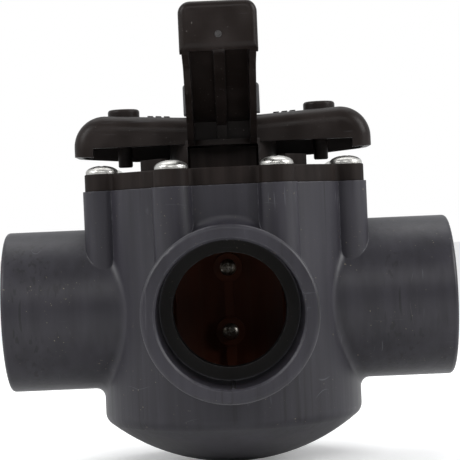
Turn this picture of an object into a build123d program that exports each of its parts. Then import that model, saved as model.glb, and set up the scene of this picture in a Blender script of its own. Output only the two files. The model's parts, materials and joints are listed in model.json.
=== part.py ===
"""Three way diverter valve for 2 inch plastic pipe, in millimetres, +Z up.

The origin is the middle of the front port's mouth, and that port opens towards -Y. The stem stands
upright one port_reach behind it. The valve stands with all three ports open, so the diverter is
against the blank back wall and the long arm of the handle points to the front.
"""

import os
from math import asin, cos, degrees, pi, radians, sin, sqrt, tan

from build123d import *

os.makedirs("parts", exist_ok=True)

# Ports: a pipe glues inside each one, or a larger fitting glues over its outside.
port_reach = 101.0          # from the stem's axis to each port's mouth
port_outside = 73.0
socket_bore = 60.5
socket_depth = 41.0
throat_bore = 49.0
mouth_chamfer = 0.9
mouth_rounding = 1.8
port_turns = {"front": -90.0, "right": 0.0, "left": 180.0}
merge = 1.0                 # how far a shape runs into or past its neighbour when one is cut or joined

# Body
barrel_outside = 117.6
barrel_wall = 6.8
body_top = 53.4             # above the ports' axis, as every height here
dome_bottom = -72.0
dome_radius = 90.0
dome_wall = 7.0
barrel_corner = 5.5
saddle_fillet = 4.0
seal_lead_in = 1.0

# Lid screws and their columns
screw_count = 8
screw_offset = 0.3          # from the barrel's outside to each screw's axis
column_radius = 8.8
column_bottom = 16.0
column_tail = 10.0          # the side columns run out below in a cone
column_taper = 30.0
screw_shank = 6.2
screw_reach = 25.0
screw_hole_spare = 2.0
screw_head = 14.5
screw_head_height = 3.9
screw_recess = 6.2          # span of the cross recess
screw_turn = 37.0           # each screw stopped at another angle
screw_fit = 0.05            # radial clearance round a screw's shank
screw_rim = 0.2             # shares of a head's height: its upright rim, and its recess
screw_recess_depth = 0.6
screw_slot = 0.26           # width of a recess's slots over its span
screw_point = 0.2           # chamfer at a screw's end over its shank

# Lid
lid_thickness = 7.6
lid_inset = 1.0             # how far the lid's edge stands inside the body's
spigot_depth = 8.0
spigot_fit = 0.1
spigot_wall = 8.0
lid_web = 6.0               # thickness left above the lid's underside pockets
lid_hub = 36.0
lid_hub_drop = 2.0          # how far the hub stands below the spigot
lid_rib = 3.0
lid_edge = 0.6
lid_scallop = 2.0           # rounding where the scallops meet the round of the lid
neck_outside = 31.0         # round behind and square in front
neck_corner = 0.8
neck_height = 10.4
lug_outside = 82.0          # four curved upstands that locate an actuator's base
lug_wall = 4.0
lug_height = 5.6
lug_half_angle = 12.0
lug_angle = 36.0            # each side of the side ports' line
lock_circle = 90.0
lock_hole_depth = 3.5

# Stem and diverter
stem_diameter = 20.0
running_fit = 0.08
thrust_thickness = 1.6
thrust_outside = 30.0
web_thickness = 6.0         # of the diverter's arms above and below the flow
drive_side = 13.0
drive_corner = 1.0
drive_height = 8.0
drive_fit = 0.1
seal_margin = 6.8           # how far the diverter reaches past a throat, round the barrel
plate_wall = 4.0
plate_margin = 8.5          # and above and below it
web_foot = 7.5              # how far the arms' feet reach in from the curved wall
pivot_diameter = 16.0
pivot_length = 12.0
pivot_boss = 28.0
pivot_gap = 3.0             # between the diverter's foot and the boss
pivot_end_gap = 1.0
seal_thickness = 5.2
seal_gap = 0.3
clamp_spacing = 31.0        # between the two screws that hold the seal on
clamp_boss = 14.0
clamp_boss_height = 4.0
clamp_rib = 4.6
clamp_rib_height = 2.2
clamp_screw_shank = 4.0
clamp_screw_head = 8.0
clamp_screw_head_height = 2.8
clamp_screw_recess = 4.2
clamp_plate_half_angle = 12.0
clamp_plate_wall = 2.6
seal_edge = 1.5             # height of the raised rim round the flow
seal_ring = (2.0, 7.0)      # the rim's inner and outer margins round a throat

# Round seals
lid_seal_section = 2.8
stem_seal_section = 2.4
groove_ratio = 1.35         # a groove's width over its seal's section
stem_seal_offset = 4.0      # each side of the lid's top

# Handle
stop_travel = 90.0          # each way
stop_key_half_angle = 15.0
stop_slack_angle = 1.0
stop_height = 3.4
stop_wall_gap = 1.8         # from the stem to the stop's inner face
hub_outside = 35.0
hub_gap = 0.6               # between the neck's top and the hub
hub_height = 24.6           # above the lid's top
skirt_lift = 6.4
neck_skirt_wall = 2.2       # the round skirt that turns about the neck
neck_skirt_gap = 0.9        # and its height above the lid
neck_skirt_roof = 2.6
wing_front_lift = 12.0
wing_tip_rise = 2.2         # how much higher the wings' lower edge is at their tips
wing_reach = 67.3
wing_width = 36.0
wing_rise = 3.3             # degrees
wing_end_radius = 14.0
wing_edge = 7.0
wing_wall = 3.0
wing_front_reach = 58.4
arm_width = 31.0
arm_reach = 91.5
arm_wall = 3.0
arm_edge = 3.0
arm_start = 20.5            # where the arm starts to climb, forward of the stem
arm_knee = 64.0             # where it levels out
arm_knee_rise = 35.4        # above the hub's top
arm_knee_depth = 17.5
arm_end_rise = 42.4
arm_end_depth = 19.0
arm_bend = 14.0
arm_rib = 4.8
arm_rib_height = 2.4
arm_crown = 5.0             # rounding along the arm's top
grip_length = 7.0
grip_swell = 0.7            # how far the grip stands out all round the arm
neck_gap = 0.4              # between the neck and the skirt round it
neck_window = 31.6          # opening in the skirt's front
letter_bar = (2.6, 10.0)     # plain raised bars, three on each wing
letter_bar_height = 0.9
letter_bar_corner = 0.6
letter_bar_places = (25.1, 28.9, 32.6)

# Lock plugs: pressed down, their pins enter the lid and hold the handle at a quarter turn.
plug_head = 14.5
plug_head_height = 7.4
plug_head_rounding = 1.4
plug_rise = 5.4             # above the hub's top
plug_pin = 6.6
plug_pin_edge = 0.5
plug_lift = 3.4             # above the lid's top
plug_fit = 0.15
plug_travel = 5.5
plug_floor = 2.4
plug_tube_wall = 2.0

# Knob
knob_outside = 35.7
knob_height = 14.0
knob_lobes = 7
knob_flute = 5.6            # radius of each flute
knob_flute_out = 3.4        # how far its middle stands outside the knob
knob_flute_edge = 0.8
washer_thickness = 1.5
washer_outside = 20.0
washer_fit = 0.3
knob_edge = 1.6
stud_grip = 10.0            # length of stud inside the knob
stud_diameter = 8.0
stud_depth = 14.0
stud_edge = 0.8

# Sizes that follow from those above
port_radius = port_outside / 2
barrel_radius = barrel_outside / 2
cavity_radius = barrel_radius - barrel_wall
screw_ring = barrel_radius + screw_offset
lid_top = body_top + lid_thickness
spigot_bottom = body_top - spigot_depth
neck_top = lid_top + neck_height
stem_radius = stem_diameter / 2
lid_hub_bottom = spigot_bottom - lid_hub_drop
diverter_top = lid_hub_bottom - thrust_thickness
seal_outer = cavity_radius - seal_gap
seal_inner = seal_outer - seal_thickness
plate_inner = seal_inner - plate_wall
flow_half_angle = degrees(asin((throat_bore / 2 + seal_margin) / cavity_radius))
web_half_angle = 0.8 * flow_half_angle
plate_half_height = throat_bore / 2 + plate_margin
pivot_boss_top = -plate_half_height - web_thickness - pivot_gap
stem_seal_heights = (lid_top - stem_seal_offset, lid_top + stem_seal_offset)
hub_bottom = neck_top + hub_gap
hub_top = lid_top + hub_height
skirt_bottom = lid_top + skirt_lift
wing_tip_bottom = skirt_bottom + wing_tip_rise
wing_front_bottom = lid_top + wing_front_lift
arm_knee_top = hub_top + arm_knee_rise
arm_knee_bottom = arm_knee_top - arm_knee_depth
arm_end_top = hub_top + arm_end_rise
arm_end_bottom = arm_end_top - arm_end_depth
plug_top = hub_top + plug_rise
plug_bottom = lid_top + plug_lift
stop_top = hub_bottom + stop_height
stop_half_angle = 180 - stop_travel - stop_key_half_angle - stop_slack_angle
stop_inside = stem_radius + stop_wall_gap
drive_bottom = stop_top
drive_top = drive_bottom + drive_height
knob_bottom = hub_top + washer_thickness
neck_skirt_inside = neck_outside / sqrt(2) + neck_gap
neck_skirt_outside = neck_skirt_inside + neck_skirt_wall
plug_seat = plug_top - plug_head_height
plug_tube_bottom = plug_seat - plug_travel - plug_floor
screw_angles = [360.0 / screw_count * (turn + 0.5) for turn in range(screw_count)]

stem = Axis((0, port_reach, 0), (0, 0, 1))


def level(height):
    """The level plane at a height, centred on the stem."""
    return Plane(origin=(0, port_reach, height))


def outward(turn, reach, height=0.0):
    """The plane across a port or a radial screw, facing away from the stem; its x axis points up."""
    way = Vector(cos(radians(turn)), sin(radians(turn)), 0)
    return Plane(origin=Vector(0, port_reach, height) + way * reach, x_dir=(0, 0, 1), z_dir=way)


def save(part, label):
    part.label = label
    export_step(part, f"parts/{label}.step")


upright = Plane(origin=(0, port_reach, 0), x_dir=(1, 0, 0), z_dir=(0, -1, 0))
lengthwise = Plane(origin=(0, port_reach, 0), x_dir=(0, -1, 0), z_dir=(-1, 0, 0))


# Body: one moulding, a domed barrel with three ports and eight screw columns.
def barrel_face(radius, top, bottom, sphere, corner):
    """Half the section of a barrel that is closed by a dome at the bottom."""
    centre = bottom + sphere
    sweep = degrees(asin(radius / sphere))
    with BuildSketch() as face:
        with BuildLine():
            dome = CenterArc((0, centre), sphere, -90, sweep)
            wall = Line(dome @ 1, (radius, top))
            lip = Line(wall @ 1, (0, top))
            Line(lip @ 1, dome @ 0)
        make_face()
        fillet(face.vertices().sort_by(Axis.Y)[1:2], corner)
    return face.sketch


with BuildPart() as valve_body:
    with BuildSketch(upright):
        add(barrel_face(barrel_radius, body_top, dome_bottom, dome_radius, barrel_corner))
    revolve(axis=stem)
    for turn in port_turns.values():
        with BuildSketch(outward(turn, port_reach)):
            Circle(port_radius)
        extrude(amount=-port_reach)
    fillet(valve_body.edges().filter_by(GeomType.BSPLINE), saddle_fillet)
    for turn in port_turns.values():
        facing = Axis((0, port_reach, 0), outward(turn, 0).z_dir)
        fillet(valve_body.faces().sort_by(facing)[-1].edges(), mouth_rounding)
    with BuildSketch(level(column_bottom)):
        with PolarLocations(screw_ring, screw_count, screw_angles[0]):
            Circle(column_radius)
    extrude(amount=body_top - column_bottom)
    with BuildSketch(level(column_bottom)):
        with PolarLocations(screw_ring, 2, 90 - screw_angles[0], 2 * screw_angles[0], endpoint=True):
            Circle(column_radius)
    extrude(amount=-column_tail, taper=column_taper)
    with BuildSketch(upright):
        add(barrel_face(cavity_radius, body_top, dome_bottom + dome_wall, dome_radius - dome_wall,
                        barrel_corner))
    revolve(axis=stem, mode=Mode.SUBTRACT)
    with BuildSketch(level(body_top)):
        Circle(cavity_radius + seal_lead_in)
    extrude(amount=-seal_lead_in, taper=45, mode=Mode.SUBTRACT)
    with BuildSketch(level(dome_bottom + dome_wall / 2)):
        Circle(pivot_boss / 2)
    extrude(amount=pivot_boss_top - dome_bottom - dome_wall / 2)
    with BuildSketch(level(pivot_boss_top)):
        Circle(pivot_diameter / 2 + running_fit)
    extrude(amount=-pivot_length, mode=Mode.SUBTRACT)
    for turn in port_turns.values():
        with BuildSketch(outward(turn, port_reach)):
            Circle(throat_bore / 2)
        extrude(amount=-port_reach + stem_diameter, mode=Mode.SUBTRACT)
        with BuildSketch(outward(turn, port_reach)):
            Circle(socket_bore / 2)
        extrude(amount=-socket_depth, mode=Mode.SUBTRACT)
        with BuildSketch(outward(turn, port_reach)):
            Circle(socket_bore / 2 + mouth_chamfer)
        extrude(amount=-mouth_chamfer, taper=45, mode=Mode.SUBTRACT)
    with BuildSketch(level(body_top)):
        with PolarLocations(screw_ring, screw_count, screw_angles[0]):
            Circle(screw_shank / 2 + screw_fit)
    extrude(amount=-(screw_reach - lid_thickness + screw_hole_spare), mode=Mode.SUBTRACT)
save(valve_body.part, "valve_body")


def arc_band(inner_radius, outer_radius, half_angle, middle=90.0):
    """A flat band between two arcs about the stem, centred on an angle."""
    with BuildSketch() as band:
        with BuildLine():
            outer = CenterArc((0, 0), outer_radius, middle - half_angle, 2 * half_angle)
            inner = CenterArc((0, 0), inner_radius, middle - half_angle, 2 * half_angle)
            Line(outer @ 0, inner @ 0)
            Line(outer @ 1, inner @ 1)
        make_face()
    return band.sketch


# Lid: a scalloped cover with a spigot in the barrel, a neck for the stem, and four lugs that locate
# an actuator where one takes the handle's place.
with BuildPart() as lid:
    with BuildSketch(level(body_top)) as outline:
        Circle(barrel_radius - lid_inset)
        with PolarLocations(screw_ring, screw_count, screw_angles[0]):
            Circle(column_radius - lid_inset)
        fillet(outline.vertices(), lid_scallop)
    extrude(amount=lid_thickness)
    fillet(lid.faces().sort_by(Axis.Z)[-1].edges(), lid_edge)
    with BuildSketch(level(body_top)):
        Circle(cavity_radius - spigot_fit)
    extrude(amount=-spigot_depth)
    with BuildSketch(level(lid_top - lid_web)):
        Circle(cavity_radius - spigot_fit - spigot_wall)
        Circle(lid_hub / 2, mode=Mode.SUBTRACT)
        with PolarLocations(0, screw_count // 2):
            Rectangle(cavity_radius * 2, lid_rib, mode=Mode.SUBTRACT)
    extrude(amount=spigot_bottom - lid_top + lid_web, mode=Mode.SUBTRACT)
    with BuildSketch(level(lid_hub_bottom)):
        Circle(lid_hub / 2)
    extrude(amount=body_top - lid_hub_bottom)
    with BuildSketch(level(lid_top)):
        Circle(neck_outside / 2)
        with Locations((0, -neck_outside / 4)):
            RectangleRounded(neck_outside, neck_outside / 2, neck_corner)
    extrude(amount=neck_height)
    with BuildSketch(level(lid_top)):
        for middle in (lug_angle, 180 - lug_angle, 180 + lug_angle, -lug_angle):
            add(arc_band(lug_outside / 2 - lug_wall, lug_outside / 2, lug_half_angle, middle))
    extrude(amount=lug_height)
    with BuildSketch(level(neck_top)):
        add(arc_band(stop_inside, neck_outside / 2, stop_half_angle, -90.0))
    extrude(amount=stop_height)
    with BuildSketch(level(lid_hub_bottom)):
        Circle(stem_radius + running_fit)
    extrude(amount=neck_top + stop_height - lid_hub_bottom, mode=Mode.SUBTRACT)
    with BuildSketch(level(lid_top)):
        with PolarLocations(lock_circle / 2, 4):
            Circle(plug_pin / 2 + plug_fit)
    extrude(amount=-lock_hole_depth, mode=Mode.SUBTRACT)
    with BuildSketch(level(lid_top)):
        with PolarLocations(screw_ring, screw_count, screw_angles[0]):
            Circle(screw_shank / 2 + screw_fit)
    extrude(amount=-lid_thickness, mode=Mode.SUBTRACT)
    with BuildSketch(upright):
        with Locations((cavity_radius, body_top - spigot_depth / 2)):
            Rectangle(2 * lid_seal_section, groove_ratio * lid_seal_section)
    revolve(axis=stem, mode=Mode.SUBTRACT)
save(lid.part, "lid")


# Round rubber seals: one on the lid's spigot, two on the stem.
def round_seal(label, outer_radius, section, height):
    with BuildPart() as ring:
        with BuildSketch(upright):
            with Locations((outer_radius - section / 2, height)):
                Circle(section / 2)
        revolve(axis=stem)
    save(ring.part, label)


round_seal("lid_seal", cavity_radius, lid_seal_section, body_top - spigot_depth / 2)
for place, height in zip(("lower", "upper"), stem_seal_heights):
    round_seal(f"stem_seal_{place}", stem_radius, stem_seal_section, height)


# Screws: a shank, a low domed head and a cross recess, made with the head facing the plane's normal.
def screw(label, seat, shank, length, head, head_height, recess):
    axis = Axis(seat.origin, seat.z_dir)
    rim = head_height * screw_rim
    with BuildPart() as fastener:
        with BuildSketch(Plane(origin=seat.origin, x_dir=seat.x_dir, z_dir=-seat.y_dir)):
            with BuildLine():
                dome = EllipticalCenterArc((0, rim), head / 2, head_height - rim, arc_size=90)
                Polyline(dome @ 1, (0, 0), (head / 2, 0), dome @ 0)
            make_face()
        revolve(axis=axis)
        with BuildSketch(seat):
            Circle(shank / 2)
        extrude(amount=-length)
        chamfer(fastener.edges().sort_by(axis)[:1], shank * screw_point)
        with BuildSketch(seat.offset(head_height)):
            Rectangle(recess, recess * screw_slot)
            Rectangle(recess * screw_slot, recess)
        extrude(amount=-head_height * screw_recess_depth, taper=8, mode=Mode.SUBTRACT)
    save(fastener.part, label)


for number, angle in enumerate(screw_angles, start=1):
    spot = Vector(screw_ring * cos(radians(angle)), port_reach + screw_ring * sin(radians(angle)), lid_top)
    stopped = radians(screw_turn * number)
    seat = Plane(origin=spot, x_dir=(cos(stopped), sin(stopped), 0))
    screw(f"lid_screw_{number}", seat, screw_shank, screw_reach, screw_head, screw_head_height, screw_recess)


# Diverter: a curved wall on a stem, moulded in one. It covers one port, or none.
def web_face(thickness_width):
    """A flat arm from the stem to the curved wall, seen from above."""
    with BuildSketch() as web:
        Circle(thickness_width / 2)
        with Locations((0, plate_inner / 2)):
            Rectangle(thickness_width, plate_inner)
        add(arc_band(plate_inner - web_foot, plate_inner + plate_wall, web_half_angle))
    return web.sketch


clamp_turn = 90.0
clamp_heights = {"lower": -clamp_spacing / 2, "upper": clamp_spacing / 2}
clamp_face = plate_inner - clamp_boss_height
with BuildPart() as diverter:
    with BuildSketch(level(-plate_half_height)):
        add(arc_band(plate_inner, plate_inner + plate_wall, flow_half_angle))
    extrude(amount=2 * plate_half_height)
    with BuildSketch(level(diverter_top - web_thickness)):
        add(web_face(thrust_outside))
    extrude(amount=web_thickness)
    with BuildSketch(level(plate_half_height)):
        add(arc_band(plate_inner - web_foot, plate_inner + plate_wall, web_half_angle))
    extrude(amount=diverter_top - web_thickness - plate_half_height)
    with BuildSketch(level(-plate_half_height - web_thickness)):
        add(web_face(pivot_boss))
    extrude(amount=web_thickness)
    with BuildSketch(level(pivot_boss_top - pivot_length + pivot_end_gap)):
        Circle(pivot_diameter / 2)
    extrude(amount=-plate_half_height - pivot_boss_top + pivot_length - pivot_end_gap)
    with BuildSketch(level(diverter_top)):
        Circle(stem_radius)
    extrude(amount=drive_bottom - diverter_top)
    with BuildSketch(level(drive_bottom)):
        RectangleRounded(drive_side, drive_side, drive_corner)
    extrude(amount=drive_height)
    for height in clamp_heights.values():
        with BuildSketch(outward(clamp_turn, clamp_face, height)):
            Circle(clamp_boss / 2)
        extrude(amount=clamp_boss_height + plate_wall / 2)
    with BuildSketch(outward(clamp_turn, plate_inner - clamp_rib_height)):
        Rectangle(2 * plate_half_height, clamp_rib)
    extrude(amount=clamp_rib_height + plate_wall / 2)
    for height in clamp_heights.values():
        with BuildSketch(outward(clamp_turn, clamp_face, height)):
            Circle(clamp_screw_shank / 2 + screw_fit)
        extrude(amount=clamp_boss_height + plate_wall * 1.5, mode=Mode.SUBTRACT)
    with BuildSketch(upright):
        for height in stem_seal_heights:
            with Locations((stem_radius, height)):
                Rectangle(2 * stem_seal_section, groove_ratio * stem_seal_section)
    revolve(axis=stem, mode=Mode.SUBTRACT)
    with BuildSketch(level(drive_top)):
        Circle(stud_diameter / 2 + screw_fit)
    extrude(amount=-stud_depth - merge, mode=Mode.SUBTRACT)
save(diverter.part, "diverter")


# The diverter's rubber seal, with a raised rim, and the stiff plate that clamps it from inside.
with BuildPart() as diverter_seal:
    with BuildSketch(level(-plate_half_height)):
        add(arc_band(seal_inner, seal_outer - seal_edge, flow_half_angle))
    extrude(amount=2 * plate_half_height)
    with BuildSketch(outward(clamp_turn, throat_bore / 2)):
        Circle(throat_bore / 2 + seal_ring[1])
        Circle(throat_bore / 2 + seal_ring[0], mode=Mode.SUBTRACT)
    extrude(amount=cavity_radius - throat_bore / 2)
    with BuildSketch(level(-plate_half_height)):
        add(arc_band(seal_inner, seal_outer, flow_half_angle))
    extrude(amount=2 * plate_half_height, mode=Mode.INTERSECT)
    with BuildSketch(level(-clamp_spacing / 2 - clamp_boss / 2)):
        add(arc_band(seal_inner - merge, seal_inner + clamp_plate_wall, clamp_plate_half_angle))
    extrude(amount=clamp_spacing + clamp_boss, mode=Mode.SUBTRACT)
save(diverter_seal.part, "diverter_seal")

with BuildPart() as clamp_plate:
    with BuildSketch(level(-clamp_spacing / 2 - clamp_boss / 2)):
        add(arc_band(seal_inner, seal_inner + clamp_plate_wall, clamp_plate_half_angle))
    extrude(amount=clamp_spacing + clamp_boss)
    for height in clamp_heights.values():
        with BuildSketch(outward(clamp_turn, seal_inner - merge, height)):
            Circle(clamp_screw_shank / 2 + screw_fit)
        extrude(amount=clamp_plate_wall + 2 * merge, mode=Mode.SUBTRACT)
save(clamp_plate.part, "clamp_plate")

clamp_screw_length = clamp_boss_height + plate_wall + clamp_plate_wall * 0.9
for place, height in clamp_heights.items():
    screw(f"clamp_screw_{place}", outward(clamp_turn + 180, -clamp_face, height), clamp_screw_shank,
          clamp_screw_length, clamp_screw_head, clamp_screw_head_height, clamp_screw_recess)

with BuildPart() as thrust_washer:
    with BuildSketch(level(diverter_top)):
        Circle(thrust_outside / 2)
        Circle(stem_radius + running_fit, mode=Mode.SUBTRACT)
    extrude(amount=thrust_thickness - running_fit)
save(thrust_washer.part, "thrust_washer")


# Handle: one open-bottomed moulding, a hub on the stem's square, two short wings and a long arm.
def wing_outline(inset):
    """Both wings from the front: tops that climb, rounded ends and undersides that lift outwards."""
    reach = wing_reach - inset
    radius = wing_end_radius - inset
    flat = hub_outside / 2
    shoulder = hub_top - inset + (reach - radius - flat) * tan(radians(wing_rise))
    with BuildSketch() as outline:
        with BuildLine():
            top = Polyline((0, hub_top - inset), (flat, hub_top - inset), (reach - radius, shoulder))
            end = ThreePointArc(top @ 1, (reach - radius * (1 - cos(pi / 4)),
                                          shoulder - radius * (1 - sin(pi / 4))),
                                (reach, shoulder - radius))
            Polyline(end @ 1, (reach, wing_tip_bottom - inset),
                     (lug_outside / 2, skirt_bottom - inset), (0, skirt_bottom - inset),
                     (0, hub_top - inset))
        make_face()
        mirror(about=Plane.YZ)
    return outline.sketch


def wing_solid(inset):
    """The two wings as one block; inset by the wall, it is the block that hollows them."""
    half_width = wing_width / 2 - inset
    with BuildPart() as solid:
        with BuildSketch(upright):
            add(wing_outline(inset))
        extrude(amount=half_width, both=True)
        rims = solid.edges().filter_by(
            lambda edge: abs(abs(edge.center().Y - port_reach) - half_width) < 0.01
            and edge.center().Z > wing_tip_bottom + merge / 2
        )
        fillet(rims, wing_edge - inset)
    return solid.part


def arm_side(inset):
    """The arm from the side: it climbs from the hub, then levels out to the grip."""
    drop = abs(inset)
    with BuildSketch() as side:
        with BuildLine():
            Polyline((0, hub_top - inset), (arm_start, hub_top - inset), (arm_knee, arm_knee_top - inset),
                     (arm_reach - inset, arm_end_top - inset), (arm_reach - inset, arm_end_bottom - drop),
                     (arm_knee, arm_knee_bottom - drop), (hub_outside / 2, skirt_bottom - drop),
                     (0, skirt_bottom - drop), close=True)
        make_face()
        for bend in ((arm_start, hub_top - inset), (arm_knee, arm_knee_top - inset),
                     (arm_knee, arm_knee_bottom - drop)):
            fillet(side.vertices().sort_by_distance(bend)[0], arm_bend)
    return side.sketch


def above_middle(edge):
    """Whether an edge of the arm belongs to its top rather than its open underside."""
    share = (port_reach - edge.center().Y - arm_start) / (arm_knee - arm_start)
    low = (hub_top + skirt_bottom) / 2
    high = (arm_knee_top + arm_knee_bottom) / 2
    return edge.center().Z > min(low + share * (high - low), (arm_end_top + arm_end_bottom) / 2)


def arm_solid(inset, width, crown, rounding, start=0.0):
    with BuildPart() as solid:
        with BuildSketch(lengthwise):
            add(arm_side(inset))
        extrude(amount=width / 2, both=True)
        if start:
            with BuildSketch(lengthwise):
                with Locations((start + arm_reach / 2, arm_end_bottom)):
                    Rectangle(arm_reach, 2 * arm_reach)
            extrude(amount=width, both=True, mode=Mode.INTERSECT)
        tip = solid.faces().sort_by(Axis.Y)[0].edges()
        sides = solid.edges().filter_by(lambda edge: abs(abs(edge.center().X) - width / 2) < 0.01)
        fillet(sides.filter_by(above_middle).filter_by(lambda edge: edge not in tip), crown)
        fillet(solid.faces().sort_by(Axis.Y)[0].edges(), rounding)
    return solid.part


with BuildPart() as letter_bars:
    with BuildSketch(upright):
        add(wing_outline(-letter_bar_height))
    extrude(amount=letter_bar[1] / 2, both=True)
    with BuildSketch(level(hub_top - wing_wall / 2)):
        with Locations(*[(side * place, 0) for side in (-1, 1) for place in letter_bar_places]):
            RectangleRounded(*letter_bar, letter_bar_corner)
    extrude(amount=wing_width, mode=Mode.INTERSECT)

with BuildPart() as handle:
    add(wing_solid(0))
    add(wing_solid(wing_wall), mode=Mode.SUBTRACT)
    with BuildSketch(upright.offset(wing_width / 2 - wing_wall)):
        with Locations((0, skirt_bottom)):
            Rectangle(2 * wing_front_reach, 2 * (wing_front_bottom - skirt_bottom))
    extrude(amount=wing_wall, mode=Mode.SUBTRACT)
    add(letter_bars.part)
    add(arm_solid(0, arm_width, arm_crown, arm_edge))
    add(arm_solid(-grip_swell, arm_width + 2 * grip_swell, arm_crown, arm_edge, arm_reach - grip_length))
    with BuildSketch(lengthwise):
        add(arm_side(arm_wall))
    extrude(amount=arm_width / 2 - arm_wall, both=True, mode=Mode.SUBTRACT)
    with BuildSketch(lengthwise):
        add(arm_side(arm_wall - merge))
        add(arm_side(arm_wall + arm_rib_height), mode=Mode.SUBTRACT)
        with Locations((0, skirt_bottom)):
            Rectangle(2 * arm_reach, 2 * (hub_bottom - skirt_bottom), mode=Mode.SUBTRACT)
    extrude(amount=arm_rib / 2, both=True)
    with BuildSketch(level(skirt_bottom)):
        Circle(hub_outside / 2)
    extrude(amount=hub_top - skirt_bottom)
    with BuildSketch(level(hub_bottom)):
        with Locations((0, -hub_outside / 4)):
            Rectangle(arm_width - arm_wall, hub_outside / 2)
    extrude(amount=hub_top - hub_bottom - arm_wall / 2)
    with BuildSketch(level(lid_top + neck_skirt_gap)):
        Circle(neck_skirt_outside)
    extrude(amount=hub_bottom + neck_skirt_roof - lid_top - neck_skirt_gap)
    with BuildSketch(level(hub_bottom)):
        with Locations((0, -hub_outside / 2)):
            Rectangle(arm_rib, 2 * arm_rib_height)
    extrude(amount=hub_top - hub_bottom - arm_wall / 2)
    with BuildSketch(level(plug_tube_bottom)):
        with PolarLocations(lock_circle / 2, 2):
            Circle(plug_head / 2 + plug_fit + plug_tube_wall)
    extrude(amount=hub_top - plug_tube_bottom)
    with BuildSketch(level(lid_top)):
        Circle(neck_skirt_inside)
    extrude(amount=hub_bottom - lid_top, mode=Mode.SUBTRACT)
    with BuildSketch(level(hub_bottom)):
        Circle(neck_outside / 2 + neck_gap)
    extrude(amount=stop_height, mode=Mode.SUBTRACT)
    with BuildSketch(upright):
        with Locations((0, lid_top)):
            Rectangle(neck_window, 2 * (hub_bottom - lid_top))
    extrude(amount=2 * neck_skirt_outside, mode=Mode.SUBTRACT)
    with BuildSketch(level(hub_bottom)):
        add(arc_band(stop_inside, neck_outside / 2 + neck_gap + merge, stop_key_half_angle))
    extrude(amount=stop_height + merge)
    with BuildSketch(level(stop_top)):
        RectangleRounded(drive_side + 2 * drive_fit, drive_side + 2 * drive_fit, drive_corner)
    extrude(amount=hub_top - stop_top, mode=Mode.SUBTRACT)
    with BuildSketch(level(plug_seat - plug_travel)):
        with PolarLocations(lock_circle / 2, 2):
            Circle(plug_head / 2 + plug_fit)
    extrude(amount=plug_top, mode=Mode.SUBTRACT)
    with BuildSketch(level(plug_tube_bottom)):
        with PolarLocations(lock_circle / 2, 2):
            Circle(plug_pin / 2 + plug_fit)
    extrude(amount=plug_floor, mode=Mode.SUBTRACT)
save(handle.part, "handle")


# Lock plugs: each is a cap, which a thumb presses, and a pin fixed in the cap's underside.
for side, turn in {"left": 180, "right": 0}.items():
    with BuildPart() as lock_cap:
        with BuildSketch(Plane(origin=outward(turn, lock_circle / 2, plug_seat).origin)):
            Circle(plug_head / 2)
        extrude(amount=plug_head_height)
        fillet(lock_cap.faces().sort_by(Axis.Z)[-1].edges(), plug_head_rounding)
    save(lock_cap.part, f"lock_cap_{side}")

    with BuildPart() as lock_pin:
        with BuildSketch(Plane(origin=outward(turn, lock_circle / 2, plug_bottom).origin)):
            Circle(plug_pin / 2)
        extrude(amount=plug_seat - plug_bottom)
        chamfer(lock_pin.faces().sort_by(Axis.Z)[0].edges(), plug_pin_edge)
    save(lock_pin.part, f"lock_pin_{side}")


# Knob: a lobed hand knob on a steel stud, which clamps the handle down on the stem's shoulder.
with BuildPart() as knob:
    with BuildSketch(level(knob_bottom)) as lobes:
        Circle(knob_outside / 2)
        with PolarLocations(knob_outside / 2 + knob_flute_out, knob_lobes, 180 / knob_lobes):
            Circle(knob_flute, mode=Mode.SUBTRACT)
        fillet(lobes.vertices(), knob_flute_edge)
    extrude(amount=knob_height)
    fillet(knob.faces().sort_by(Axis.Z)[-1].edges(), knob_edge)
    with BuildSketch(level(knob_bottom)):
        Circle(stud_diameter / 2)
    extrude(amount=stud_grip, mode=Mode.SUBTRACT)
save(knob.part, "knob")

with BuildPart() as knob_stud:
    with BuildSketch(level(drive_top - stud_depth)):
        Circle(stud_diameter / 2)
    extrude(amount=knob_bottom + stud_grip - drive_top + stud_depth)
    chamfer(knob_stud.faces().sort_by(Axis.Z)[0].edges(), stud_edge)
save(knob_stud.part, "knob_stud")

with BuildPart() as knob_washer:
    with BuildSketch(level(hub_top)):
        Circle(washer_outside / 2)
        Circle(stud_diameter / 2 + washer_fit, mode=Mode.SUBTRACT)
    extrude(amount=washer_thickness)
save(knob_washer.part, "knob_washer")
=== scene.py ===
import json
from math import cos, pi, radians, sin

import bmesh
import bpy
from mathutils import Matrix, Vector


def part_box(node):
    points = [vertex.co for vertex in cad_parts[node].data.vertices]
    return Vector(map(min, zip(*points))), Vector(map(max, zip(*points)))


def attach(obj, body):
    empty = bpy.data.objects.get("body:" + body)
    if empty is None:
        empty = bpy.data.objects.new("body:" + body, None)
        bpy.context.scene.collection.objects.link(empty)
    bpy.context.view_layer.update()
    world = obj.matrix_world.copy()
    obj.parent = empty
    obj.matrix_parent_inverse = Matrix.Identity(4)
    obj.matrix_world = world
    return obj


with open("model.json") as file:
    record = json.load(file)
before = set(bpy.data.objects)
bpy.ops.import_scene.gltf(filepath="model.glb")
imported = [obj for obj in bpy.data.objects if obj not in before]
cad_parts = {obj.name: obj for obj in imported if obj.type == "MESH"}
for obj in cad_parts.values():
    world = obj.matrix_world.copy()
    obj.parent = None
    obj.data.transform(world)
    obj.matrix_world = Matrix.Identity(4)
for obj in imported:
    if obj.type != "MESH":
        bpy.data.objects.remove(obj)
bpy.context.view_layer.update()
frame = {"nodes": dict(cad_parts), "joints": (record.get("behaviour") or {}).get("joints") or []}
nodes = frame["nodes"]


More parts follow.
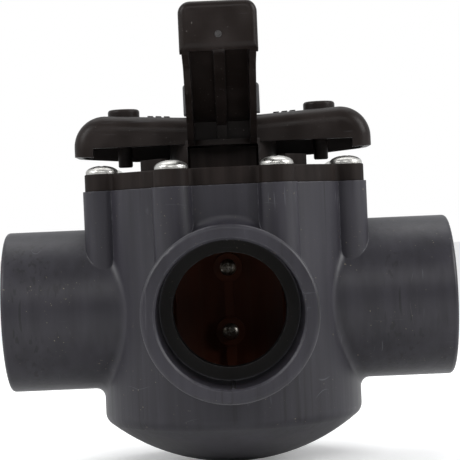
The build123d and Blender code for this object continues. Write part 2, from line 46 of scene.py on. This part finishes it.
# The stage: a plain pale floor under the domed body, white paper behind and beside it, a darker
# room in front, and four soft boxes. The floor throws less light back up than it shows, and the
# lens looks straight into the front port, a little above its axis, and leans to one side.
stem_y = frame["joints"][0]["pos_m"][1]
floor_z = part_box("valve_body")[0].z
floor_half = 6.0
floor_shown = 0.95
floor_thrown = 0.84
floor_glow = 0.22
room_in_front = 0.17
room_behind = 0.78

floor_mesh = bmesh.new()
bmesh.ops.create_grid(floor_mesh, x_segments=1, y_segments=1, size=floor_half)
bmesh.ops.translate(floor_mesh, verts=floor_mesh.verts, vec=(0, 0, floor_z))
floor = bpy.data.objects.new("floor", bpy.data.meshes.new("floor"))
floor_mesh.to_mesh(floor.data)
floor_mesh.free()
bpy.context.scene.collection.objects.link(floor)

floor_paper = bpy.data.materials.new("floor_paper")
floor_paper.use_nodes = True
paper_nodes = floor_paper.node_tree.nodes
paper_links = floor_paper.node_tree.links
paper_grain = paper_nodes.new("ShaderNodeTexNoise")
paper_grain.inputs["Scale"].default_value = 900
paper_bump = paper_nodes.new("ShaderNodeBump")
paper_bump.inputs["Strength"].default_value = 0.05
paper_bump.inputs["Distance"].default_value = 0.0002
paper_links.new(paper_grain.outputs["Fac"], paper_bump.inputs["Height"])
paper_shader = paper_nodes["Principled BSDF"]
paper_shader.inputs["Base Color"].default_value = (floor_shown, floor_shown, floor_shown, 1)
paper_shader.inputs["Emission Color"].default_value = (1, 1, 1, 1)
paper_shader.inputs["Emission Strength"].default_value = floor_glow
paper_shader.inputs["Roughness"].default_value = 0.7
paper_links.new(paper_bump.outputs["Normal"], paper_shader.inputs["Normal"])
paper_shade = paper_nodes.new("ShaderNodeBsdfDiffuse")
paper_shade.inputs["Color"].default_value = (floor_thrown, floor_thrown, floor_thrown, 1)
paper_seen = paper_nodes.new("ShaderNodeLightPath")
paper_pick = paper_nodes.new("ShaderNodeMixShader")
paper_links.new(paper_seen.outputs["Is Camera Ray"], paper_pick.inputs[0])
paper_links.new(paper_shade.outputs["BSDF"], paper_pick.inputs[1])
paper_links.new(paper_shader.outputs["BSDF"], paper_pick.inputs[2])
paper_links.new(paper_pick.outputs["Shader"], paper_nodes["Material Output"].inputs["Surface"])
floor.data.materials.append(floor_paper)

room = bpy.data.worlds.new("studio_room")
bpy.context.scene.world = room
room.use_nodes = True
room_nodes = room.node_tree.nodes
room_links = room.node_tree.links
room_way = room_nodes.new("ShaderNodeTexCoord")
room_split = room_nodes.new("ShaderNodeSeparateXYZ")
room_links.new(room_way.outputs["Generated"], room_split.inputs["Vector"])
room_depth = room_nodes.new("ShaderNodeMapRange")
room_depth.interpolation_type = "SMOOTHSTEP"
room_depth.inputs["From Min"].default_value = -0.9
room_depth.inputs["From Max"].default_value = 0.25
room_depth.inputs["To Min"].default_value = room_in_front
room_depth.inputs["To Max"].default_value = room_behind
room_links.new(room_split.outputs["Y"], room_depth.inputs["Value"])
room_paper = room_nodes.new("ShaderNodeBackground")
room_paper.inputs["Color"].default_value = (1, 1, 1, 1)
room_light = room_nodes["Background"]
room_light.inputs["Color"].default_value = (0.97, 0.985, 1.0, 1)
room_links.new(room_depth.outputs["Result"], room_light.inputs["Strength"])
room_seen = room_nodes.new("ShaderNodeLightPath")
room_pick = room_nodes.new("ShaderNodeMixShader")
room_links.new(room_seen.outputs["Is Camera Ray"], room_pick.inputs[0])
room_links.new(room_light.outputs["Background"], room_pick.inputs[1])
room_links.new(room_paper.outputs["Background"], room_pick.inputs[2])
room_links.new(room_pick.outputs["Shader"], room_nodes["World Output"].inputs["Surface"])


def soft_box(name, place, width, height, watts):
    """A rectangular lamp that faces the middle of the valve."""
    lamp = bpy.data.lights.new(name, "AREA")
    lamp.shape = "RECTANGLE"
    lamp.size = width
    lamp.size_y = height
    lamp.energy = watts
    holder = bpy.data.objects.new(name, lamp)
    holder.location = place
    aim = Vector((0, stem_y, 0.02)) - Vector(place)
    holder.rotation_euler = aim.to_track_quat("-Z", "Y").to_euler()
    bpy.context.scene.collection.objects.link(holder)


soft_box("box_left", place=(-0.85, -0.35, 0.65), width=0.5, height=0.6, watts=7)
soft_box("box_right", place=(0.9, -0.25, 0.55), width=0.5, height=0.6, watts=8)
soft_box("box_above", place=(0.0, 0.45, 0.95), width=0.9, height=0.5, watts=2.3)
soft_box("box_front", place=(0.0, -0.80, 0.50), width=0.6, height=0.3, watts=1.9)

camera_back = 0.784          # from the stem to the lens
camera_side = -0.0005
camera_height = 0.0364       # above the ports' axis
camera_turn = radians(0.158)
camera_dip = radians(-0.201)
camera_lean = radians(-2.474)
sensor_width = 36
lens_over_sensor = 3.698

ahead = Vector((sin(camera_turn) * cos(camera_dip), cos(camera_turn) * cos(camera_dip), sin(camera_dip)))
level_right = Vector((cos(camera_turn), -sin(camera_turn), 0))
level_up = level_right.cross(ahead)
right = cos(camera_lean) * level_right + sin(camera_lean) * level_up
up = right.cross(ahead)
camera = bpy.data.objects.new("camera", bpy.data.cameras.new("camera"))
camera.data.sensor_width = sensor_width
camera.data.lens = sensor_width * lens_over_sensor
camera_place = Matrix.Translation((camera_side, stem_y - camera_back, camera_height))
camera.matrix_world = camera_place @ Matrix((right, up, -ahead)).transposed().to_4x4()
bpy.context.scene.collection.objects.link(camera)
bpy.context.scene.camera = camera
bpy.context.scene.view_settings.view_transform = "Standard"


# The body: one injection moulding in grey PVC, a domed barrel with three glue sockets and eight
# screw columns. Its skin is satin, streaked upright by the melt and the mould, with painted shading
# streaks mixed into that tone, scuffed and dusty, with pale edges that are partly wear and partly a
# painted highlight, and stained brown behind the sockets by the water.
def plastic(name):
    """A new material, with the node tree to wire, its shader, and places on the object."""
    finish = bpy.data.materials.new(name)
    finish.use_nodes = True
    tree = finish.node_tree
    places = tree.nodes.new("ShaderNodeTexCoord").outputs["Object"]
    return finish, tree, tree.nodes["Principled BSDF"], places


def stretched(tree, places, stretch, turn=(0, 0, 0)):
    """Places scaled, then turned, so that a pattern comes out longer along one way."""
    mapping = tree.nodes.new("ShaderNodeMapping")
    mapping.inputs["Rotation"].default_value = turn
    mapping.inputs["Scale"].default_value = stretch
    tree.links.new(places, mapping.inputs["Vector"])
    return mapping.outputs["Vector"]


def mottle(tree, places, scale, detail=2.0, rough=0.5):
    """Soft noise, from 0 to 1."""
    noise = tree.nodes.new("ShaderNodeTexNoise")
    noise.inputs["Scale"].default_value = scale
    noise.inputs["Detail"].default_value = detail
    noise.inputs["Roughness"].default_value = rough
    tree.links.new(places, noise.inputs["Vector"])
    return noise.outputs["Fac"]


def band(tree, value, low, high, bottom=0.0, top=1.0):
    """A value between low and high, spread from bottom to top."""
    spread = tree.nodes.new("ShaderNodeMapRange")
    spread.inputs["From Min"].default_value = low
    spread.inputs["From Max"].default_value = high
    spread.inputs["To Min"].default_value = bottom
    spread.inputs["To Max"].default_value = top
    tree.links.new(value, spread.inputs["Value"])
    return spread.outputs["Result"]


def sums(tree, operation, first, second):
    """One operation on two values, each a number or another node's output."""
    working = tree.nodes.new("ShaderNodeMath")
    working.operation = operation
    for socket, value in zip(working.inputs, (first, second)):
        if isinstance(value, (int, float)):
            socket.default_value = value
        else:
            tree.links.new(value, socket)
    return working.outputs["Value"]


def tinted(tree, share, under, over):
    """One colour over another, each a colour or another mix's output."""
    mix = tree.nodes.new("ShaderNodeMix")
    mix.data_type = "RGBA"
    tree.links.new(share, mix.inputs["Factor"])
    for socket, colour in ((mix.inputs[6], under), (mix.inputs[7], over)):
        if isinstance(colour, tuple):
            socket.default_value = (*colour, 1)
        else:
            tree.links.new(colour, socket)
    return mix.outputs[2]


def hair_scratches(tree, places, scale, stretch, turn, width, sparse):
    """Thin lines where a long stretched mottle crosses its middle, kept only in some places."""
    lines = mottle(tree, stretched(tree, places, stretch, turn), scale, 0.0)
    middle = sums(tree, "ABSOLUTE", sums(tree, "SUBTRACT", lines, 0.5), 0.0)
    hair = band(tree, middle, 0.0, width, 1.0, 0.0)
    kept = band(tree, mottle(tree, places, scale * 0.6, 1.0), sparse, sparse + 0.08)
    return sums(tree, "MULTIPLY", hair, kept)


def plain_normal(tree):
    return tree.nodes.new("ShaderNodeNewGeometry").outputs["Normal"]


def softened(tree, radius):
    """The surface's normal with its sharp edges rounded off."""
    rounded = tree.nodes.new("ShaderNodeBevel")
    rounded.samples = 6
    rounded.inputs["Radius"].default_value = radius
    return rounded.outputs["Normal"]


def edge_wear_and_highlight(tree, places, soft_edges):
    """Sharp edges, found by how far the softened normal turns from the plain one, worn unevenly: a mask for
    wear and for a painted edge highlight.
    """
    facing = tree.nodes.new("ShaderNodeVectorMath")
    facing.operation = "DOT_PRODUCT"
    tree.links.new(soft_edges, facing.inputs[0])
    tree.links.new(plain_normal(tree), facing.inputs[1])
    sharp = band(tree, facing.outputs["Value"], 0.975, 0.88)
    uneven = band(tree, mottle(tree, places, 420), 0.40, 0.62)
    return sums(tree, "MULTIPLY", sharp, uneven)


def relief(tree, height, distance, strength, under):
    """A bump of one height pattern, laid over the normal that comes from under it."""
    bump = tree.nodes.new("ShaderNodeBump")
    bump.inputs["Distance"].default_value = distance
    bump.inputs["Strength"].default_value = strength
    tree.links.new(height, bump.inputs["Height"])
    tree.links.new(under, bump.inputs["Normal"])
    return bump.outputs["Normal"]


def coat(tree, shader, colour, gloss, skin):
    """Wire a finish's colour, its roughness and its normal to the shader."""
    tree.links.new(colour, shader.inputs["Base Color"])
    tree.links.new(gloss, shader.inputs["Roughness"])
    tree.links.new(skin, shader.inputs["Normal"])


def dress(finish, *names):
    for name in names:
        slots = nodes[name].data.materials
        slots.clear()
        slots.append(finish)


pvc_deep = (0.0142, 0.0132, 0.0177)
pvc_pale = (0.0276, 0.0257, 0.0333)
pvc_drawn = (0.0090, 0.0085, 0.0105)
pvc_stained = (0.0075, 0.0060, 0.0036)
# pale of the scratches and the worn edges; on the edges it is also a painted highlight
pvc_wear_and_highlight = (0.13, 0.13, 0.145)
pvc_dust = (0.15, 0.128, 0.09)
stain_full = 0.0293          # radius round a port's axis within which the stain is at its full
stain_end = 0.0301

grey_pvc, tree, shader, places = plastic("grey_pvc")
# Upright streaks in the tone: partly from the melt, partly painted shading streaks.
melt_and_shading_streaks = mottle(tree, stretched(tree, places, (1, 1, 0.05)), 210, 3.0)
clouds = mottle(tree, places, 16)
shade = sums(tree, "MULTIPLY", sums(tree, "ADD", melt_and_shading_streaks, clouds), 0.5)
pvc = tinted(tree, band(tree, shade, 0.36, 0.64), pvc_deep, pvc_pale)

drawn_lines = band(tree, mottle(tree, stretched(tree, places, (1, 1, 0.012)), 520, 1.0), 0.58, 0.66)
drawn_areas = band(tree, mottle(tree, stretched(tree, places, (1, 1, 0.2)), 48, 1.0), 0.50, 0.60)
draw_marks = sums(tree, "MULTIPLY", drawn_lines, drawn_areas)
pvc = tinted(tree, sums(tree, "MULTIPLY", draw_marks, 0.75), pvc, pvc_drawn)

split_places = tree.nodes.new("ShaderNodeSeparateXYZ")
tree.links.new(places, split_places.inputs["Vector"])
across = split_places.outputs["X"]
along = sums(tree, "SUBTRACT", split_places.outputs["Y"], stem_y)
height_squared = sums(tree, "MULTIPLY", split_places.outputs["Z"], split_places.outputs["Z"])
wet = []
for sideways in (across, along):
    squares = sums(tree, "ADD", sums(tree, "MULTIPLY", sideways, sideways), height_squared)
    wet.append(band(tree, sums(tree, "POWER", squares, 0.5), stain_full, stain_end, 1.0, 0.0))
wet_front = sums(tree, "MULTIPLY", wet[0], band(tree, along, 0.0, 0.01, 1.0, 0.0))
wet_all = sums(tree, "MAXIMUM", wet_front, wet[1])
stained = sums(tree, "MULTIPLY", wet_all, band(tree, clouds, 0.2, 0.8, 0.7, 0.95))
pvc = tinted(tree, stained, pvc, pvc_stained)

flecks = sums(tree, "MULTIPLY", band(tree, mottle(tree, places, 900, 1.0), 0.725, 0.77),
              band(tree, mottle(tree, places, 55, 1.0), 0.48, 0.60))
pvc = tinted(tree, flecks, pvc, pvc_dust)
level = hair_scratches(tree, places, 95, (0.03, 1, 1), (0.5, 0.9, 0.2), 0.008, 0.61)
upright = hair_scratches(tree, places, 120, (1, 1, 0.03), (1.5, 0.2, 0.0), 0.010, 0.62)
scratched = sums(tree, "MAXIMUM", level, upright)
pvc = tinted(tree, sums(tree, "MULTIPLY", scratched, 0.45), pvc, pvc_wear_and_highlight)
soft_edges = softened(tree, 0.0007)
# Sharp edges turn pale: partly wear, partly a painted edge highlight.
worn_and_highlit_edges = edge_wear_and_highlight(tree, places, soft_edges)
pvc = tinted(tree, sums(tree, "MULTIPLY", worn_and_highlit_edges, 0.55), pvc, pvc_wear_and_highlight)

gloss = sums(tree, "ADD", band(tree, clouds, 0.3, 0.7, 0.36, 0.48), sums(tree, "MULTIPLY", scratched, 0.2))
gloss = sums(tree, "ADD", gloss, sums(tree, "MULTIPLY", stained, 0.3))
shader.inputs["Specular IOR Level"].default_value = 0.36
skin = relief(tree, mottle(tree, places, 1400), 0.00006, 0.35, soft_edges)
skin = relief(tree, melt_and_shading_streaks, 0.00030, 0.5, skin)
skin = relief(tree, scratched, 0.00003, 0.4, skin)
coat(tree, shader, pvc, gloss, skin)
dress(grey_pvc, "valve_body")


# Parting lines: thin ridges of flash that the core pins leave along the top and the bottom of each
# glue socket. The water has left a narrow strip of silt along both sides of each.
socket_radius = 0.03025
socket_depth = 0.041
ridge_set_back = 0.001       # in from the middle of the socket
ridge_length = socket_depth * 0.9
ridge_width = 0.0009
ridge_height = 0.0004
silt_length = socket_depth * 0.88
silt_width = 0.0022
silt_height = 0.00014
silt_deep = (0.0055, 0.0050, 0.0042)
silt_pale = (0.012, 0.011, 0.0095)
port_turns = {"front": -pi / 2, "right": 0.0, "left": pi}


def keep(mesh, name, body, finish):
    """Make a finished bmesh an object that rides on a body and takes the finish it is given."""
    piece = bpy.data.objects.new(name, bpy.data.meshes.new(name))
    bmesh.ops.recalc_face_normals(mesh, faces=mesh.faces)
    mesh.to_mesh(piece.data)
    mesh.free()
    piece.data.materials.append(finish)
    bpy.context.scene.collection.objects.link(piece)
    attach(piece, body)


def rounded_block(size, place, edge, turn):
    """A block with its edges broken, centred on a place and turned about the upright."""
    mesh = bmesh.new()
    bmesh.ops.create_cube(mesh, size=1)
    bmesh.ops.scale(mesh, vec=size, verts=mesh.verts)
    bmesh.ops.bevel(mesh, geom=mesh.edges[:], offset=edge, affect="EDGES", segments=2, profile=0.5,
                    material=-1)
    bmesh.ops.rotate(mesh, cent=(0, 0, 0), matrix=Matrix.Rotation(turn, 3, "Z"), verts=mesh.verts)
    bmesh.ops.translate(mesh, vec=place, verts=mesh.verts)
    return mesh


grime, tree, shader, places = plastic("socket_grime")
silt = mottle(tree, places, 700, 3.0)
gloss = band(tree, silt, 0.3, 0.7, 0.6, 0.8)
skin = relief(tree, silt, 0.00010, 0.5, plain_normal(tree))
coat(tree, shader, tinted(tree, silt, silt_deep, silt_pale), gloss, skin)

for port, turn in port_turns.items():
    middle = stem_y - socket_depth / 2 - ridge_set_back
    for place, side in {"top": 1, "bottom": -1}.items():
        spot = (cos(turn) * middle, stem_y + sin(turn) * middle, side * socket_radius)
        ridge = rounded_block((ridge_length, ridge_width, 2 * ridge_height), spot, ridge_width * 0.3, turn)
        keep(ridge, f"parting_line_{port}_{place}", "valve", grey_pvc)
        silt_strip = rounded_block((silt_length, silt_width, 2 * silt_height), spot, silt_height * 0.5, turn)
        keep(silt_strip, f"parting_silt_{port}_{place}", "valve", grime)


# The diverter: a curved wall on a stem, black plastic stained brown by the water, with its rubber
# seal, the steel plate that clamps the seal, two pan head screws filmed over by the water, and a
# slippery washer above.
diverter_deep = (0.052, 0.0120, 0.0036)
diverter_pale = (0.092, 0.0240, 0.0090)
diverter_runs = (0.080, 0.038, 0.022)
rubber_deep = (0.010, 0.010, 0.010)
rubber_bloom = (0.024, 0.023, 0.022)
steel_bright = (0.62, 0.61, 0.58)
steel_dull = (0.30, 0.29, 0.27)
steel_clean = (0.40, 0.38, 0.34)
steel_filmed = (0.12, 0.095, 0.07)
acetal_deep = (0.60, 0.60, 0.56)
acetal_pale = (0.74, 0.73, 0.68)

brown_black, tree, shader, places = plastic("stained_black")
stain = mottle(tree, stretched(tree, places, (1, 1, 0.3)), 45, 3.0)
colour = tinted(tree, band(tree, stain, 0.35, 0.65), diverter_deep, diverter_pale)
run_marks = band(tree, mottle(tree, stretched(tree, places, (1, 1, 0.03)), 160), 0.55, 0.7)
colour = tinted(tree, sums(tree, "MULTIPLY", run_marks, 0.5), colour, diverter_runs)
shader.inputs["Specular IOR Level"].default_value = 0.15
skin = relief(tree, mottle(tree, places, 1600), 0.00008, 0.4, softened(tree, 0.0005))
coat(tree, shader, colour, band(tree, stain, 0.3, 0.7, 0.42, 0.62), skin)
dress(brown_black, "diverter")

rubber, tree, shader, places = plastic("seal_rubber")
bloom = mottle(tree, places, 120, 3.0)
colour = tinted(tree, bloom, rubber_deep, rubber_bloom)
shader.inputs["Sheen Weight"].default_value = 0.08
skin = relief(tree, mottle(tree, places, 2200), 0.00008, 0.5, plain_normal(tree))
coat(tree, shader, colour, band(tree, bloom, 0.3, 0.7, 0.55, 0.75), skin)
dress(rubber, "lid_seal", "diverter_seal", "stem_seal_lower", "stem_seal_upper")

stainless, tree, shader, places = plastic("tumbled_stainless")
smear = mottle(tree, places, 300, 3.0)
dulled = sums(tree, "MULTIPLY", band(tree, smear, 0.52, 0.66), 0.5)
colour = tinted(tree, dulled, steel_bright, steel_dull)
shader.inputs["Metallic"].default_value = 1.0
skin = relief(tree, mottle(tree, places, 1900, 1.0), 0.00008, 0.35, softened(tree, 0.0003))
coat(tree, shader, colour, band(tree, smear, 0.3, 0.7, 0.24, 0.42), skin)
dress(stainless, "clamp_plate")

stained_steel, tree, shader, places = plastic("stained_stainless")
film = mottle(tree, places, 700, 3.0, 0.6)
colour = tinted(tree, band(tree, film, 0.4, 0.62), steel_clean, steel_filmed)
shader.inputs["Metallic"].default_value = 1.0
skin = relief(tree, film, 0.00014, 0.5, softened(tree, 0.0003))
coat(tree, shader, colour, band(tree, film, 0.3, 0.7, 0.26, 0.55), skin)
dress(stained_steel, "clamp_screw_lower", "clamp_screw_upper")

acetal, tree, shader, places = plastic("natural_acetal")
turned = mottle(tree, stretched(tree, places, (1, 1, 6)), 240)
shader.inputs["Subsurface Weight"].default_value = 0.1
shader.inputs["Subsurface Radius"].default_value = (0.001, 0.001, 0.0009)
tree.links.new(tinted(tree, turned, acetal_deep, acetal_pale), shader.inputs["Base Color"])
tree.links.new(band(tree, turned, 0.3, 0.7, 0.35, 0.5), shader.inputs["Roughness"])
dress(acetal, "thrust_washer")


# The lid: a scalloped cover in black plastic with a fine eroded grain, a neck for the stem, and four
# curved upstands for an actuator. The mould's ejector pins leave eight shallow round marks on it,
# and eight truss head screws in stainless steel pull it down.
lid_deep = (0.0086, 0.0060, 0.0051)
lid_pale = (0.0165, 0.0122, 0.0108)
lid_rubbed = (0.08, 0.08, 0.08)
lid_edge_wear_and_highlight = (0.07, 0.07, 0.072)
screw_names = [name for name in nodes if name.startswith("lid_screw_")]
screw_head_height = 0.0039
mark_count = 8
mark_radius = 0.0032
mark_ring = 0.0262           # from the stem's axis to each mark
mark_height = 0.00036
mark_rim = 0.0003
mark_dish = 0.00014

lid_black, tree, shader, places = plastic("lid_black")
grain = mottle(tree, places, 1900, 2.0, 0.6)
flow = mottle(tree, stretched(tree, places, (1, 1, 0.06)), 230, 3.0)
colour = tinted(tree, band(tree, flow, 0.35, 0.65), lid_deep, lid_pale)
rubbed = hair_scratches(tree, places, 130, (1, 1, 0.03), (0.9, 0.3, 0.4), 0.010, 0.60)
colour = tinted(tree, sums(tree, "MULTIPLY", rubbed, 0.4), colour, lid_rubbed)
soft_edges = softened(tree, 0.0005)
# Sharp edges turn pale: partly wear, partly a painted edge highlight.
worn_and_highlit_edges = edge_wear_and_highlight(tree, places, soft_edges)
colour = tinted(tree, sums(tree, "MULTIPLY", worn_and_highlit_edges, 0.35), colour, lid_edge_wear_and_highlight)
shader.inputs["Specular IOR Level"].default_value = 0.10
skin = relief(tree, grain, 0.00010, 0.4, soft_edges)
skin = relief(tree, flow, 0.00014, 0.4, skin)
coat(tree, shader, colour, band(tree, grain, 0.3, 0.7, 0.50, 0.64), skin)
dress(lid_black, "lid")
dress(stainless, *screw_names)

lid_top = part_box(screw_names[0])[1].z - screw_head_height
for number in range(mark_count):
    turn = 2 * pi * number / mark_count
    mark = bmesh.new()
    bmesh.ops.create_cone(mark, cap_ends=True, segments=36, radius1=mark_radius, radius2=mark_radius,
                          depth=mark_height)
    crown = [face for face in mark.faces if face.normal.z > 0.9]
    bmesh.ops.inset_region(mark, faces=crown, thickness=mark_rim, depth=-mark_dish)
    bmesh.ops.translate(mark, vec=(cos(turn) * mark_ring, stem_y + sin(turn) * mark_ring, lid_top),
                        verts=mark.verts)
    keep(mark, f"ejector_mark_{number + 1}", "valve", lid_black)


# The handle: one open-bottomed moulding in black plastic, satin all over, with soft sink marks, fine
# rubs and dust, pale edges that are partly wear and partly a painted highlight, and the broken stub
# of the mould's gate on the end of its grip.
handle_deep = (0.0110, 0.0080, 0.0070)
handle_pale = (0.0195, 0.0150, 0.0137)
handle_dust = (0.16, 0.15, 0.14)
handle_rubbed = (0.09, 0.09, 0.095)
handle_edge_wear_and_highlight = (0.085, 0.085, 0.09)
torn_deep = (0.012, 0.010, 0.009)
torn_pale = (0.032, 0.030, 0.030)
handle_low, handle_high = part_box("handle")
gate_radius = 0.0014
gate_flare = 1.15            # its foot's radius over its broken end's
gate_height = 0.0006
gate_proud = 0.0002          # beyond the grip's end
gate_drop = 0.0140           # below the top of the grip

handle_black, tree, shader, places = plastic("handle_black")
sink = mottle(tree, places, 42)
haze = mottle(tree, places, 85, 1.5)
colour = tinted(tree, band(tree, haze, 0.35, 0.7), handle_deep, handle_pale)
dust = sums(tree, "MULTIPLY", band(tree, mottle(tree, places, 1000, 1.0), 0.72, 0.76),
            band(tree, mottle(tree, places, 60, 1.0), 0.50, 0.62))
colour = tinted(tree, sums(tree, "MULTIPLY", dust, 0.7), colour, handle_dust)
rubbed = hair_scratches(tree, places, 150, (0.04, 1, 1), (0.3, 1.2, 0.5), 0.012, 0.56)
colour = tinted(tree, sums(tree, "MULTIPLY", rubbed, 0.25), colour, handle_rubbed)
soft_edges = softened(tree, 0.0006)
# Sharp edges turn pale: partly wear, partly a painted edge highlight.
worn_and_highlit_edges = edge_wear_and_highlight(tree, places, soft_edges)
colour = tinted(tree, sums(tree, "MULTIPLY", worn_and_highlit_edges, 0.35), colour, handle_edge_wear_and_highlight)
gloss = sums(tree, "ADD", band(tree, haze, 0.3, 0.7, 0.28, 0.44), sums(tree, "MULTIPLY", rubbed, 0.1))
shader.inputs["Specular IOR Level"].default_value = 0.12
skin = relief(tree, sink, 0.0012, 0.35, soft_edges)
skin = relief(tree, mottle(tree, stretched(tree, places, (0.12, 1, 1)), 260), 0.00022, 0.4, skin)
skin = relief(tree, mottle(tree, places, 1300), 0.00005, 0.35, skin)
coat(tree, shader, colour, gloss, skin)
dress(handle_black, "handle")

torn_black, tree, shader, places = plastic("torn_gate_black")
torn = mottle(tree, places, 900, 4.0, 0.7)
colour = tinted(tree, band(tree, torn, 0.4, 0.65), torn_deep, torn_pale)
skin = relief(tree, torn, 0.0005, 0.8, plain_normal(tree))
coat(tree, shader, colour, band(tree, torn, 0.3, 0.7, 0.5, 0.7), skin)

gate = bmesh.new()
bmesh.ops.create_cone(gate, cap_ends=True, segments=40, radius1=gate_radius * gate_flare,
                      radius2=gate_radius, depth=gate_height)
bmesh.ops.rotate(gate, cent=(0, 0, 0), matrix=Matrix.Rotation(pi / 2, 3, "X"), verts=gate.verts)
gate_y = handle_low.y + gate_height / 2 - gate_proud
bmesh.ops.translate(gate, vec=(0, gate_y, handle_high.z - gate_drop), verts=gate.verts)
keep(gate, "gate_stub", "turning", torn_black)


# Lock caps and pins: two small thumb caps let into the wings, each with a round pin below it. They
# are moulded in the same black plastic as the handle.
lock_names = [name for name in nodes if name.startswith("lock_")]
dress(handle_black, *lock_names)


# The knob: a lobed hand knob in dark grey plastic with a pebbled grip, screwed down on a stainless
# stud and washer, with a pressed-in cover over the stud's end.
knob_deep = (0.014, 0.014, 0.015)
knob_pale = (0.026, 0.026, 0.028)
knob_edge_wear_and_highlight = (0.10, 0.10, 0.11)
knob_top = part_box("knob")[1].z
cover_radius = 0.0088
cover_height = 0.0018
cover_edge = 0.0006
cover_rim = 0.0016           # from its rounded edge in to a step down
cover_step = 0.0004

knob_grey, tree, shader, places = plastic("knob_grey")
pebble = tree.nodes.new("ShaderNodeTexVoronoi")
pebble.inputs["Scale"].default_value = 1100
tree.links.new(places, pebble.inputs["Vector"])
haze = mottle(tree, places, 70, 3.0)
colour = tinted(tree, band(tree, haze, 0.35, 0.65), knob_deep, knob_pale)
soft_edges = softened(tree, 0.0006)
# Sharp edges turn pale: partly wear, partly a painted edge highlight.
worn_and_highlit_edges = edge_wear_and_highlight(tree, places, soft_edges)
colour = tinted(tree, sums(tree, "MULTIPLY", worn_and_highlit_edges, 0.4), colour, knob_edge_wear_and_highlight)
skin = relief(tree, pebble.outputs["Distance"], 0.00012, 0.35, soft_edges)
coat(tree, shader, colour, band(tree, haze, 0.3, 0.7, 0.42, 0.55), skin)
dress(knob_grey, "knob")
dress(stainless, "knob_stud", "knob_washer")

cover = bmesh.new()
bmesh.ops.create_cone(cover, cap_ends=True, segments=64, radius1=cover_radius, radius2=cover_radius,
                      depth=cover_height)
top_rim = [edge for edge in cover.edges if all(vert.co.z > 0 for vert in edge.verts)]
bmesh.ops.bevel(cover, geom=top_rim, offset=cover_edge, affect="EDGES", segments=3, profile=0.5, material=-1)
crown = [face for face in cover.faces if face.normal.z > 0.99]
bmesh.ops.inset_region(cover, faces=crown, thickness=cover_rim, depth=0.0)
bmesh.ops.inset_region(cover, faces=crown, thickness=cover_step, depth=-cover_step)
bmesh.ops.translate(cover, vec=(0, stem_y, knob_top), verts=cover.verts)
keep(cover, "knob_cover", "knob", knob_grey)
